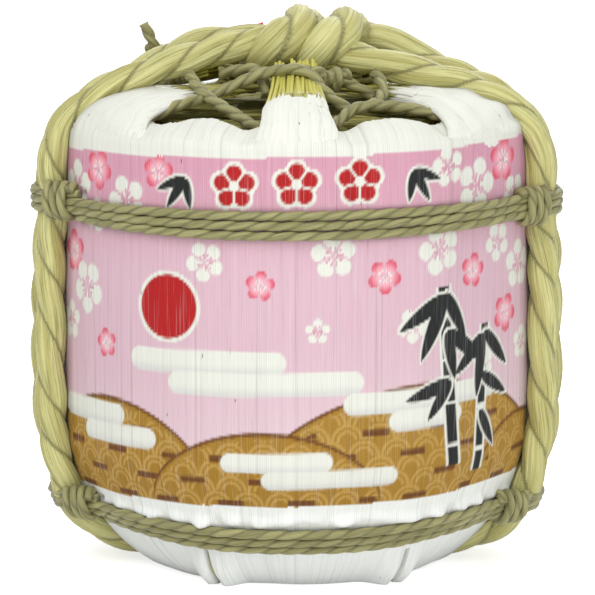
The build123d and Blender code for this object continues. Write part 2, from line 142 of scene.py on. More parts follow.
class NodeSketch:
    # short calls for wiring the nodes of a material or a world
    def __init__(self, owner):
        owner.use_nodes = True
        self.owner, self.tree = owner, owner.node_tree
        self.tree.nodes.clear()

    def add(self, kind, sockets=None, **settings):
        made = self.tree.nodes.new(kind)
        for key, value in settings.items():
            setattr(made, key, value)
        for key, value in (sockets or {}).items():
            self.fill(made.inputs[key], value)
        return made

    def fill(self, socket, value):
        # numbers and colours are set on the socket itself, the rest is wired to it
        if isinstance(value, (int, float)):
            socket.default_value = value
        elif isinstance(value, (tuple, np.ndarray)):
            numbers = [float(number) for number in value]
            socket.default_value = numbers + [1] * (len(socket.default_value) - len(numbers))
        else:
            self.tree.links.new(value, socket)

    def layer(self, name, output="Fac"):
        return self.add("ShaderNodeAttribute", attribute_name=name).outputs[output]

    def math(self, operation, first, second=0):
        return self.add("ShaderNodeMath", {0: first, 1: second}, operation=operation).outputs[0]

    def times(self, first, second):
        return self.math("MULTIPLY", first, second)

    def less(self, first, second):
        return self.math("SUBTRACT", first, second)

    def scaled(self, vector, scale):
        return self.add("ShaderNodeVectorMath", {0: vector, 1: scale}, operation="MULTIPLY").outputs[0]

    def noise(self, vector, scale, detail=2, roughness=0.5):
        sockets = {"Vector": vector, "Scale": scale, "Detail": detail, "Roughness": roughness}
        return self.add("ShaderNodeTexNoise", sockets).outputs["Fac"]

    def ranged(self, value, low, high, newLow=0, newHigh=1):
        sockets = {"Value": value, "From Min": low, "From Max": high, "To Min": newLow, "To Max": newHigh}
        return self.add("ShaderNodeMapRange", sockets, interpolation_type="SMOOTHSTEP").outputs["Result"]

    def mix(self, share, first, second, blend="MIX"):
        sockets = {0: share, 6: first, 7: second}
        return self.add("ShaderNodeMix", sockets, data_type="RGBA", blend_type=blend).outputs[2]

    def stain(self, colour, mask, share, paint, blend="MIX"):
        return self.mix(self.times(mask, share), colour, paint, blend)

    def bump(self, height, depth, strength):
        sockets = {"Strength": strength, "Distance": depth * mm, "Height": height}
        return self.add("ShaderNodeBump", sockets).outputs["Normal"]

    def seenRays(self):
        # 1 for camera, glossy and transmission rays, 0 for the rays that light the barrel
        rays = self.add("ShaderNodeLightPath").outputs
        seen = self.math("MAXIMUM", rays["Is Camera Ray"], rays["Is Glossy Ray"])
        return self.math("MAXIMUM", seen, rays["Is Transmission Ray"])

    def finish(self, shader, output="ShaderNodeOutputMaterial"):
        self.add(output, {"Surface": shader.outputs[0]})
        return self.owner

    def surface(self, colour, roughness, normal, specular=0.35, sheen=0):
        return self.finish(self.add("ShaderNodeBsdfPrincipled", {
            "Base Color": colour, "Roughness": roughness, "Normal": normal,
            "Specular IOR Level": specular, "Sheen Weight": sheen}))


camera = {
    "elevation": 9.5, "distance": 1239, "aim": (0.3, 0, 105), "focalPixels": 3000, "framePixels": 595, "sensor": 36}
studio = {
    "keyPlace": (-0.35, -0.9, 1.2), "keyPower": 9.1, "fillPlace": (0.6, -1.25, 0.2), "fillPower": 6.2,
    "backPlace": (0.2, 0.9, 1), "backPower": 5, "lampSize": 0.9, "lampAim": (0, 0, 0.1), "ambient": 0.57,
    "floorColour": (0.93, 0.93, 0.93), "floorGlow": 0.62, "floorHalf": 4.0}


def makeCamera():
    data = bpy.data.cameras.new("camera")
    data.sensor_width = camera["sensor"]
    data.lens = camera["sensor"] * camera["focalPixels"] / camera["framePixels"]
    data.clip_start, data.clip_end = 0.05, 30
    tilt, away = radians(camera["elevation"]), camera["distance"] * mm
    x, y, z = [value * mm for value in camera["aim"]]
    eye = inScene("camera", data)
    eye.location = (x, y - away * cos(tilt), z + away * sin(tilt))
    eye.rotation_euler = (pi / 2 - tilt, 0, 0)
    bpy.context.scene.camera = eye


def makeStudio():
    scene = bpy.context.scene
    scene.view_settings.view_transform = "Standard"
    sky = NodeSketch(bpy.data.worlds.new("studio"))
    ambient = sky.add("ShaderNodeBackground", {"Color": (1, 1, 1), "Strength": studio["ambient"]})
    white = sky.add("ShaderNodeBackground", {"Color": (1, 1, 1), "Strength": 1})
    scene.world = sky.finish(sky.add("ShaderNodeMixShader", {0: sky.seenRays(), 1: ambient.outputs[0],
                                                             2: white.outputs[0]}), "ShaderNodeOutputWorld")
    for name in ("key", "fill", "back"):
        data = bpy.data.lights.new(name + "Light", "AREA")
        data.shape, data.size, data.energy = "DISK", studio["lampSize"], studio[name + "Power"]
        lamp = inScene(name + "Light", data)
        lamp.location = studio[name + "Place"]
        lamp.rotation_euler = (Vector(studio["lampAim"]) - lamp.location).to_track_quat("-Z", "Y").to_euler()

    half = studio["floorHalf"]
    mesh = bpy.data.meshes.new("floor")
    mesh.from_pydata([(-half, -half, 0), (half, -half, 0), (half, half, 0), (-half, half, 0)], [], [(0, 1, 2, 3)])
    paper = NodeSketch(bpy.data.materials.new("studioPaper"))
    diffuse = paper.add("ShaderNodeBsdfDiffuse", {"Color": studio["floorColour"]})
    glow = paper.add("ShaderNodeEmission", {"Strength": paper.times(paper.seenRays(), studio["floorGlow"])})
    both = paper.add("ShaderNodeAddShader", {0: diffuse.outputs[0], 1: glow.outputs[0]})
    mesh.materials.append(paper.finish(both))
    inScene("floor", mesh)


makeCamera()
makeStudio()
print("camera and studio ready")


def strawMaterial(name, look):
    # rush straw: fine lines along the fibre, broad tone changes, painted shade in the creases between strands
    sketch = NodeSketch(bpy.data.materials.new(name))
    fibre = sketch.layer("fibre", "Vector")
    fine = sketch.noise(fibre, look["fineScale"], 3, 0.6)
    tone = sketch.ranged(sketch.noise(fibre, look["broadScale"]), 0.3, 0.7)
    colour = sketch.mix(tone, look["shadow"], look["light"])
    lines = sketch.less(1, sketch.ranged(fine, look["lineLow"], look["lineHigh"]))
    colour = sketch.stain(colour, lines, look["lineShare"], look["line"])
    # painted shade: the crease colour is laid where the shade layer is low, in the grooves between the strands,
    # stronger in some places than others
    depth = sketch.ranged(sketch.noise(fibre, look["creaseScale"]), 0.35, 0.6, 0.3, 1)
    creaseShade = sketch.times(sketch.less(1, sketch.layer("shade")), look["creaseShare"])
    colour = sketch.mix(sketch.times(creaseShade, depth), colour, look["creaseShade"])
    rough = sketch.ranged(fine, 0.2, 0.8, look["roughness"] + 0.08, look["roughness"] - 0.08)
    normal = sketch.bump(fine, look["bumpDepth"], look["bumpStrength"])
    return sketch.surface(colour, rough, normal, look["specular"], look["sheen"])


# crease is the colour of the painted shade in the grooves between strands
ropeLook = {
    "light": srgb(208, 205, 142), "shadow": srgb(178, 172, 104), "line": srgb(120, 116, 62),
    "creaseShade": srgb(84, 80, 38), "fineScale": 1.6, "broadScale": 0.35, "lineLow": 0.36, "lineHigh": 0.5,
    "lineShare": 0.6, "creaseShare": 0.85, "creaseScale": 0.3, "bumpDepth": 0.45, "bumpStrength": 0.7,
    "roughness": 0.5, "specular": 0.35, "sheen": 0.1}
cordLook = dict(ropeLook, light=srgb(162, 158, 108), shadow=srgb(130, 127, 82), line=srgb(92, 90, 54),
                creaseShade=srgb(58, 57, 30), fineScale=2.2, broadScale=0.5, bumpDepth=0.2, lineShare=0.4)
looseLook = dict(ropeLook, light=srgb(196, 190, 112), shadow=srgb(148, 143, 74), line=srgb(84, 80, 34),
                 creaseShade=srgb(40, 36, 14), fineScale=1.4)
ropeStraw = strawMaterial("ropeStraw", ropeLook)
cordStraw = strawMaterial("cordStraw", cordLook)
looseStraw = strawMaterial("looseStraw", looseLook)

# speck is the colour of the dark specks of dirt, and of the painted shade as well
matLook = {
    "cut": srgb(196, 190, 92), "bare": srgb(188, 182, 112), "bareDark": srgb(120, 114, 58),
    "grime": srgb(150, 150, 142), "worn": srgb(229, 230, 224), "speckAndShade": srgb(70, 66, 52), "fineScale": 1.15,
    "streakScale": 0.55, "wornScale": 1.7, "speckScale": 0.28, "grimeShare": 0.24, "lineShare": 0.14,
    "wornShare": 0.16, "speckShare": 0.7, "roughness": 0.72, "bumpDepth": 0.3, "bumpStrength": 0.55}


def paintedMaterial(name, look):
    # straw under a coat of paint: the layer paint holds its colour, and its alpha how much covers the straw
    sketch = NodeSketch(bpy.data.materials.new(name))
    fibre = sketch.layer("fibre", "Vector")
    coat = sketch.add("ShaderNodeAttribute", attribute_name="paint").outputs
    fine = sketch.noise(fibre, look["fineScale"], 3, 0.65)
    streak = sketch.noise(sketch.scaled(fibre, (1, 1, 0.35)), look["streakScale"], 3, 0.6)
    streak = sketch.ranged(streak, 0.56, 0.72)
    paint = sketch.stain(coat["Color"], streak, look["grimeShare"], look["grime"], "MULTIPLY")
    lines = sketch.ranged(fine, 0.46, 0.3)
    paint = sketch.stain(paint, lines, look["lineShare"], look["grime"], "MULTIPLY")
    worn = sketch.noise(sketch.scaled(fibre, (1, 1, 0.6)), look["wornScale"], 2, 0.7)
    paint = sketch.stain(paint, sketch.ranged(worn, 0.56, 0.68), look["wornShare"], look["worn"])
    spots = sketch.add("ShaderNodeTexVoronoi", {"Vector": sketch.scaled(fibre, (1, 1, 12)),
                                                "Scale": look["speckScale"]}, feature="F1").outputs
    pick = sketch.ranged(sketch.math("ABSOLUTE", spots["Color"]), 0.72, 0.78)
    dot = sketch.times(sketch.ranged(spots["Distance"], 0.11, 0.06), pick)
    paint = sketch.stain(paint, dot, look["speckShare"], look["speckAndShade"])
    cover = sketch.math("ADD", coat["Alpha"], sketch.times(sketch.less(fine, 0.5), 1.1))
    bare = sketch.mix(sketch.ranged(fine, 0.3, 0.65), look["bareDark"], look["bare"])
    colour = sketch.mix(sketch.ranged(cover, 0.42, 0.58), bare, paint)
    # painted shade: the speck colour darkens where the shade layer is low, under the ropes, in the foot's slits and
    # in the straws' furrows
    colour = sketch.mix(sketch.less(1, sketch.layer("shade")), colour, look["speckAndShade"], "MULTIPLY")
    normal = sketch.bump(fine, look["bumpDepth"], look["bumpStrength"])
    return sketch.surface(colour, look["roughness"], normal, 0.25)


paintedStraw = paintedMaterial("paintedStraw", matLook)
print("straw materials ready")


def smoothRoute(corners, spacing):
    # points at an even spacing on the smooth line that a rope's corners steer
    curve = bpy.data.curves.new("route", "CURVE")
    curve.dimensions, curve.resolution_u = "3D", 24
    spline = curve.splines.new("NURBS")
    spline.points.add(len(corners) - 1)
    for point, corner in zip(spline.points, corners):
        point.co = (*corner, 1)
    spline.order_u, spline.use_endpoint_u = 3, True
    holder = bpy.data.objects.new("route", curve)
    mesh = bpy.data.meshes.new_from_object(holder)
    line = np.array([vertex.co for vertex in mesh.vertices])
    bpy.data.objects.remove(holder)
    bpy.data.curves.remove(curve)
    bpy.data.meshes.remove(mesh)
    line = line[np.concatenate([[True], np.linalg.norm(np.diff(line, axis=0), axis=1) > 1e-4])]
    along = lengthAlong(line)
    places = np.linspace(0, along[-1], max(int(along[-1] / spacing), 4) + 1)
    return np.stack([np.interp(places, along, line[:, axis]) for axis in range(3)], axis=1), places


def carriedFrames(line):
    # directions across the line, carried along it without twisting
    tangents = unit(np.gradient(line, axis=0))
    normals = np.empty_like(line)
    normals[0] = unit(np.cross(tangents[0], (0.13, 0.21, 0.97) if abs(tangents[0][2]) < 0.9 else (1, 0.1, 0)))
    for index in range(1, len(line)):
        carried = normals[index - 1] - tangents[index] * np.dot(normals[index - 1], tangents[index])
        normals[index] = carried / np.linalg.norm(carried)
    return normals, np.cross(tangents, normals)


def skinRound(line, turn, radius, flat=1):
    # rings of points round a line, at the angles turn and the distances radius
    normals, sideways = carriedFrames(line)
    across = (np.cos(turn)[..., None] * normals[:, None]
              + flat * np.sin(turn)[..., None] * sideways[:, None])
    return line[:, None] + radius[..., None] * across


def twistedRope(corners, rope, seed, girth=None):
    # a rope of two strands laid together, as one skin with a groove between the strands
    line, places = smoothRoute(corners, rope["step"])
    sides, offset, strand = rope["sides"], rope["offset"], rope["strand"]
    lays = places[:, None] / rope["lay"]
    turn = fullTurn(sides)
    twist = -2 * pi * lays + seed + rope["slack"] * wave(lays * 2, seed)
    inStrand = turn - twist
    radius = offset * np.abs(np.cos(inStrand)) + np.sqrt(strand ** 2 - (offset * np.sin(inStrand)) ** 2)
    low, high = sqrt(strand ** 2 - offset ** 2), strand + offset
    # painted shade: 0 deep in the groove between the strands, 1 on their crowns
    shade = smoothStep(0, rope["creaseWidth"], (radius - low) / (high - low))
    drift = turn - rope["strawTurn"] * twist
    ridges = (np.sin(drift * rope["straws"] + 2.1 * wave(lays * 1.3, seed + 5))
              + 0.7 * np.sin(drift * (rope["straws"] // 2 + 1) + 3 * np.cos(inStrand)))
    radius = radius * (1 + 0.02 * wave(lays * 1.7, seed + 3)) + rope["ridge"] * ridges * shade
    if girth:
        radius = radius * girth(places / places[-1])[:, None]
    fibre = grid(high * np.cos(drift), high * np.sin(drift),
                 places[:, None] * rope["stretch"] + np.where(np.cos(inStrand) > 0, 0, 37) + 91 * seed)
    points = skinRound(line, turn, radius).reshape(-1, 3)
    faces = gridFaces(len(line), sides).tolist()
    for ring in (0, len(line) - 1):
        rim = [ring * sides + side for side in range(sides)]
        pairs = zip(rim, rim[1:] + rim[:1]) if ring else zip(rim[1:] + rim[:1], rim)
        faces += [(len(points), first, second) for first, second in pairs]
        points = np.vstack([points, points[rim].mean(axis=0)])
    return points, faces, {"fibre": np.vstack([fibre.reshape(-1, 3), fibre[0].mean(axis=0), fibre[-1].mean(axis=0)]),
                           "shade": np.append(shade, [0.5, 0.5])}


thickRope = {
    "strand": 4.95, "offset": 1.4, "lay": 46, "sides": 72, "step": 1.1, "straws": 22, "ridge": 0.16,
    "strawTurn": 0.2, "stretch": 0.03, "creaseWidth": 0.28, "slack": 0.45}
thinRope = {
    "strand": 1.52, "offset": 0.4, "lay": 17, "sides": 20, "step": 0.75, "straws": 7, "ridge": 0.04,
    "strawTurn": 0.3, "stretch": 0.05, "creaseWidth": 0.5, "slack": 0.3}
lacingRope = {
    "strand": 1.75, "offset": 0.68, "lay": 15, "sides": 26, "step": 0.9, "straws": 9, "ridge": 0.05,
    "strawTurn": 0.3, "stretch": 0.05, "creaseWidth": 0.45, "slack": 0.5}

sideFront = [
    (80.5, -35.3, 191), (93, -37.3, 181), (97, -37.4, 168), (97, -37.2, 157), (96.6, -37, 146), (98.4, -36.6, 132),
    (98.8, -36.2, 100), (99.2, -35.9, 62), (95.8, -35.5, 42), (89.2, -31, 21), (68.5, -20, 7.1), (38, -14.2, 6.8)]
sideRear = [
    (80, -17, 191.5), (93, -22.5, 181), (97.6, -25, 168), (98.4, -24.9, 158), (98.2, -24.7, 146),
    (100.6, -24.3, 132), (101.4, -23.8, 100), (102, -23, 62), (97.6, -22, 42), (89.4, -16, 21), (68.5, -5, 7.1),
    (38, -0.2, 6.8)]
knotTop = {
    "leftFront": [(8, -12, 213), (-12, -16, 213.5), (-36, -24, 208.5), (-62, -31, 200.3)],
    "rightFront": [(62, -31, 197.6), (36, -25, 203.5), (12, -18, 209), (-4, -8, 211)],
    "leftRear": [(-15, 2, 211.5), (-34, 6, 211), (-50, 3, 205.8), (-66, -8, 196.6)],
    "rightRear": [(67, -9, 197), (51, 2, 202), (36, 8, 210.5), (22, 9, 212)]}
knotWraps = {
    "turns": 1.75, "startX": 17.7, "endX": -13.8, "slant": 5, "middleY": -7.5, "halfY": 15.5, "middleZ": 210,
    "climb": 2, "halfZ": 6.6, "cornerReach": 1.1, "girth": 1.36, "girthFrom": 0.9}


def knotLoops():
    # wraps round the crossing ropes, flattened, each a little left of the one before
    knot, corners = knotWraps, []
    eighths = int(knot["turns"] * 8)
    for eighth in range(eighths + 1):
        share, turn = eighth / eighths, (1 + eighth) * pi / 4
        corners.append((knot["startX"] + (knot["endX"] - knot["startX"]) * share + knot["slant"] * sin(turn),
                        knot["middleY"] + knot["cornerReach"] * knot["halfY"] * cos(turn),
                        knot["middleZ"] + knot["climb"] * share + knot["cornerReach"] * knot["halfZ"] * sin(turn)))
    return corners


def knotGirth(share):
    # the rope swells where it is wrapped
    start = knotWraps["girthFrom"]
    return 1 + (knotWraps["girth"] - 1) * smoothStep(start - 0.03, start + 0.01, share)


def thickRoute():
    corners = []
    for place, run in (("Front", sideFront), ("Rear", sideRear)):
        corners += knotTop["left" + place] + [(-x, y, z) for x, y, z in run] + run[::-1] + knotTop["right" + place]
    return corners + knotLoops()


# belts: three turns on the mat, out over the thick rope's side runs and back
matRadius = 99
bowl = {"centreRadius": 22.72, "centreHeight": 65.1, "radius": 77.08}
belts = {
    "upper": {"height": 144.6, "pitch": 3.85, "press": 1, "gather": 0.2},
    "lower": {"angle": -35.5, "pitch": 4.15, "press": 0.86, "gather": 0.3, "sideRise": 3.5}}
beltPath = {
    "turns": 3, "lift": 58, "landing": 100, "frontCorners": 5, "backCorners": 8, "ropeRadius": 5.2,
    "cordRadius": 1.6, "gatherFrom": 22, "gatherTo": 55, "clear": 0.5, "slide": 0.9}


def beltTurn(name, turns):
    # radius and height of a belt after a number of turns
    belt, cord = belts[name], beltPath["cordRadius"]
    azimuth = (360 * turns - beltPath["lift"]) % 360
    aside = float(smoothStep(beltPath["gatherFrom"], beltPath["gatherTo"], min(azimuth, 360 - azimuth)))
    middle = beltPath["turns"] / 2
    climb = (middle + (turns - middle) * (1 - belt["gather"] * aside)) * belt["pitch"]
    if name == "upper":
        return matRadius + cord, belt["height"] + climb
    reach = bowl["radius"] + cord
    angle = radians(belt["angle"]) + (climb + belt["sideRise"] * aside) / reach
    return bowl["centreRadius"] + reach * cos(angle), bowl["centreHeight"] + reach * sin(angle)


def runAt(run, height):
    # where a side run of the thick rope is at a height, and how steep it is there
    for lower, upper in zip(run[::-1], run[-2::-1]):
        if lower[2] <= height <= upper[2]:
            share = (height - lower[2]) / max(upper[2] - lower[2], 1e-6)
            steep = (upper[2] - lower[2]) / dist(lower, upper)
            return np.array([lower[i] + share * (upper[i] - lower[i]) for i in (0, 1)]), steep
    return np.array(run[-1][:2]), 1


def overSideRuns(name, turns):
    # corners of a belt on the right: off the mat, round the two side runs, back to the mat
    radius, height = beltTurn(name, turns)
    front, frontSteep = runAt(sideFront, height)
    rear, rearSteep = runAt(sideRear, height)
    along = unit(rear - front)
    outward = np.array([along[1], -along[0]])
    lift, landing = [np.array(polar(beltPath[key], radius, 0)[:2]) for key in ("lift", "landing")]
    corners = [lift]
    for rope, start, side, steep in ((front, lift, -1, frontSteep), (rear, landing, 1, rearSteep)):
        bump = beltPath["ropeRadius"] * belts[name]["press"] / steep + beltPath["cordRadius"]
        reach = rope - start
        heading = atan2(reach[1], reach[0]) + side * asin(min(bump / np.linalg.norm(reach), 0.99))
        turn = atan2(-side * along[1], -side * along[0]) - heading
        slide = bump * tan(abs((turn + pi) % (2 * pi) - pi) / 2)
        corners.append(rope + outward * (bump + beltPath["clear"]) + along * side * slide * beltPath["slide"])
    return [np.array([x, y, height]) for x, y in corners + [landing]]


def beltRoute(name):
    lift, landing, corners = beltPath["lift"], beltPath["landing"], []

    def onMat(turn, start, sweep, count):
        # corners just off the mat, so that the rope lies on it
        step = sweep / count
        for index in range(count):
            azimuth = start + (index + 0.5) * step
            radius, height = beltTurn(name, turn + (azimuth + lift) / 360)
            corners.append(polar(azimuth, radius / cos(radians(step / 2)), height))

    for turn in range(beltPath["turns"]):
        corners.append(polar(-lift, *beltTurn(name, turn)))
        onMat(turn, -lift, 2 * lift, beltPath["frontCorners"])
        corners += overSideRuns(name, turn + 2 * lift / 360)
        onMat(turn, landing, 360 - 2 * landing, beltPath["backCorners"])
        left = overSideRuns(name, turn + (360 - lift - (landing - lift) / 2) / 360)
        corners += [corner * (-1, 1, 1) for corner in left[:0:-1]]
    return corners + [polar(-lift, *beltTurn(name, beltPath["turns"]))]


lashing = {
    "wraps": 3.25, "start": 3, "pitch": 3.7, "halfDeep": 3.9, "spare": 3.4, "deepReach": 1.12, "highReach": 1.05}


def lashingRoute(name, side):
    # wraps round the belt's three strands, just in front of the thick rope
    share = 2 * beltPath["lift"] / 360 if side > 0 else 1 - (beltPath["landing"] - beltPath["lift"]) / 1440
    low, middle, high = [overSideRuns(name, share + turn) for turn in (0, 1, 2)]
    heading = unit(middle[1] - middle[0])
    normal = unit(np.cross(heading, unit(high[0] - low[0])))
    stack = np.cross(normal, heading) * (np.linalg.norm(high[0] - low[0]) / 2 + lashing["spare"])
    corners = []
    for eighth in range(int(lashing["wraps"] * 8)):
        turn = (1 - eighth) * pi / 4
        corner = (middle[0] + heading * (lashing["start"] + eighth * lashing["pitch"] / 8)
                  + normal * sin(turn) * lashing["halfDeep"] * lashing["deepReach"]
                  + stack * cos(turn) * lashing["highReach"])
        corners.append(corner * (side, 1, 1))
    return corners


def around(*places):
    return [polar(*place) for place in places]


# the two lacing ropes weave over and under the tabs: over the front as the photograph shows, behind in even waves
lacingPaths = {
    "outer": around((184, 79, 181.2), (193, 79, 181.2), (210, 63, 194.2), (220.7, 52, 193.9), (240, 50, 194.6),
                    (259.3, 52, 193.9), (270, 63, 194.2), (287, 79, 181.2), (304, 83, 181.5))
    + [(-61, -61, 183.8), (-49, -55, 189.5), (-37, -50, 192.4), (-27.5, -46, 195.6), (-17.5, -46, 200.6),
       (-5, -47.5, 204.2), (5, -50, 203.2), (11, -56, 195), (20, -60, 188.8), (28, -56, 189.4), (34, -47, 192.6),
       (33.5, -38, 198.6), (30, -28, 201), (40, -14, 197)]
    + around((450, 60, 194), (460.7, 52, 193.9), (480, 50, 194.6), (499.3, 52, 193.9), (510, 63, 194.2),
             (527, 79, 181.2), (536, 79, 181.2)),
    "inner": [(2, -79, 181.2), (12, -77, 182.4), (17, -69, 186.6), (24, -61, 191), (37.5, -57, 190.4),
              (50, -58, 188.6), (61, -61, 184.2)]
    + around((56, 83, 181.5), (73, 79, 181.2), (90, 63, 187), (107, 79, 181.2), (133, 79, 181.2), (150, 63, 187),
             (165.1, 52, 201.7), (180, 50, 203), (194.9, 52, 201.7), (210, 63, 187), (227, 79, 181.2),
             (253, 79, 181.2), (270, 63, 187), (284, 52, 196))
    + [(-44, -26, 199.5), (-42, -36, 200), (-38.5, -46, 195.6), (-33.5, -54.5, 192.6), (-26, -62, 188.6),
       (-18, -70, 184.6), (-12, -77, 182), (-2, -79, 181.2)]}
lacingKnot = {"centre": (15.5, -37, 199.2), "heading": (0.9, 0.15, -0.3), "radius": 2.7, "turns": 2, "pitch": 3.6}
lacingEnd = [(-2, -46, 203), (6, -42, 202.6), (13, -38, 200.4), (19, -36, 198), (26, -35, 194.5), (31, -36, 192)]
lacingBend = [(-30, -28, 200), (-24, -33, 202.2), (-15.5, -37, 203), (-13, -42, 198.5), (-12, -46, 193)]
tailStub = [(-55, 12, 197.4), (-57, 12.6, 203), (-59.5, 13, 210), (-63, 13.2, 217)]
tailKnot = {"centre": (-57.6, 12.6, 204.6), "heading": (-0.2, 0.05, 1), "radius": 2.9, "turns": 2, "pitch": 3.4}
wrapReach = 1.08  # the corners of a small knot lie this much further out than its rope


def wrapsRound(knot):
    # turns of thin rope round a place on another rope
    along = unit(np.array(knot["heading"]))
    aside = unit(np.cross(along, (0, 1, 0.2)))
    outward = np.cross(along, aside)
    return [np.array(knot["centre"]) + along * (eighth / 8 - knot["turns"] / 2) * knot["pitch"]
            + wrapReach * knot["radius"] * (aside * cos((1 + eighth) * pi / 4) + outward * sin((1 + eighth) * pi / 4))
            for eighth in range(knot["turns"] * 8 + 1)]


# every rope: the CAD node it stands for, if it has one of its own, and its route
ropes = {"thickRope": ("thick_rope", thickRoute())}
for level in ("upper", "lower"):
    ropes[level + "Belt"] = (level + "_belt_rope", beltRoute(level))
for level in ("upper", "lower"):
    for hand, side in (("Left", -1), ("Right", 1)):
        ropes[f"{level}{hand}Lashing"] = (f"{level}_{hand.lower()}_lashing", lashingRoute(level, side))
ropes.update({
    "outerLacing": ("lacing_rope_outer", lacingPaths["outer"]),
    "innerLacing": ("lacing_rope_inner", lacingPaths["inner"]),
    "lacingKnot": (None, wrapsRound(lacingKnot)), "lacingEnd": (None, lacingEnd), "lacingBend": (None, lacingBend),
    "tailStub": ("tail_rope", tailStub), "tailKnot": ("tail_knot", wrapsRound(tailKnot))})
for seed, (name, (node, route)) in enumerate(ropes.items()):
    if name == "thickRope":
        points, faces, layers = twistedRope(route, thickRope, seed, knotGirth)
        addPiece(name, points, faces, ropeStraw, layers, node)
    else:
        rope = lacingRope if "lacing" in name.lower() or name == "tailStub" else thinRope
        points, faces, layers = twistedRope(route, rope, seed)
        addPiece(name, points, faces, cordStraw, layers, node)
print("ropes made")


printLook = {
    "halfWidth": 121, "low": 39, "high": 175, "tilt": 0.0225,
    "white": srgb(228, 229, 219), "footLitWhite": srgb(242, 245, 242), "deepPink": srgb(211, 155, 174),
    "pink": srgb(216, 182, 194), "palePink": srgb(226, 209, 213), "petalRed": srgb(214, 72, 96),
    "petalPink": srgb(240, 176, 190), "ochre": srgb(160, 120, 40), "ochreLight": srgb(186, 150, 78),
    "brown": srgb(106, 64, 26), "ink": srgb(28, 30, 30), "red": srgb(176, 28, 30), "mistGrey": srgb(196, 198, 196),
    "scale": 13, "strokeRow": 9, "jointPitch": 17, "outline": 1.2}
printLook["ochrePale"] = 0.88 * printLook["ochre"] + 0.12 * printLook["ochreLight"]  # every other hill
# plum blossoms: place across and up in millimetres, size, turn, red share
blossoms = [
    (-104, 160, 11, 0.3, 0), (-88, 168, 8, 1.1, 1), (-90, 150, 7, 0.1, 0), (-72, 157, 10, 0.7, 0),
    (-56, 169, 7, 0.2, 1), (62, 168, 8, 0.5, 0), (78, 159, 11, 1.3, 0), (95, 167, 9, 0.2, 1), (104, 152, 9, 0.9, 0),
    (-108, 134, 9, 0.4, 1), (-97, 121, 11, 0.9, 0), (-112, 106, 8, 0.3, 0), (-36, 135, 8, 0.8, 0),
    (-14, 126, 6, 0.2, 1), (14, 137, 9, 0.4, 0), (34, 128, 7, 1, 1), (58, 136, 10, 0.6, 0), (76, 126, 7, 0.1, 1),
    (92, 135, 8, 0.8, 0), (108, 124, 10, 0.3, 0), (98, 106, 8, 1.1, 1), (112, 92, 7, 0.2, 0), (-84, 100, 6, 0.5, 1),
    (46, 108, 7, 0.9, 0), (8, 108, 5, 0.3, 0), (84, 88, 6, 0.6, 0)]
# hills: place across, height of the crown above the panel's foot, half width
hills = [(-84, 40, 52), (52, 46, 74), (-14, 30, 48), (112, 26, 34)]
# mist bands with round ends: left, right, height, half thickness
mists = [
    (-70, -4, 96, 4.6), (-52, 26, 87.6, 4.6), (18, 92, 79, 4.4), (36, 70, 71.2, 4), (-118, -74, 72, 4.4),
    (-100, -58, 64.2, 4), (-30, 14, 57, 3.8), (-14, 40, 50, 3.6)]
crests = [(-24, 164, 8.5), (0, 164.5, 8.5), (24, 165, 8.5)]
sun = (-52, 117, 12.5)
# bamboo stalks: x at the foot, x at the top, low, high, half width
stalks = [(66, 60, 50, 122, 2.6), (80, 84, 46, 104, 2.2)]
# bamboo leaves: root x, root z, angle in degrees, length, half width
leaves = [
    (61, 118, -150, 24, 3.6), (61, 118, -115, 27, 3.8), (61, 119, -60, 22, 3.4), (62, 104, -35, 26, 3.8),
    (62, 104, -78, 20, 3.2), (83, 100, -140, 22, 3.4), (83, 100, -100, 25, 3.6), (84, 101, -45, 22, 3.4),
    (82, 84, -30, 20, 3.2), (64, 84, -165, 22, 3.4), (64, 84, -128, 18, 3), (81, 70, -60, 18, 3),
    (-44, 167, 200, 13, 2.2), (-44, 167, 235, 14, 2.3), (-44, 167, 280, 12, 2.1), (46, 168, -20, 13, 2.2),
    (46, 168, -60, 14, 2.3), (46, 168, -100, 12, 2.1)]


def blossomMasks(x, z, centreX, centreZ, size, turn):
    # five round petals, and the distance from the heart and the angle at each place
    dx, dz = x - centreX, z - centreZ
    reach = np.hypot(dx, dz) / size
    angle = np.arctan2(dz, dx) - turn
    petal = (angle / (2 * pi / 5) + 0.5) % 1 - 0.5
    rim = 0.98 * np.cos(np.clip(petal * 2 * pi / 5 * 1.9, -1.5, 1.5)) ** 0.45
    gap = smoothStep(0.02, 0.09, (0.5 - np.abs(petal)) * reach * 1.4)
    return smoothStep(0.05, -0.05, reach - rim) * gap, reach, angle


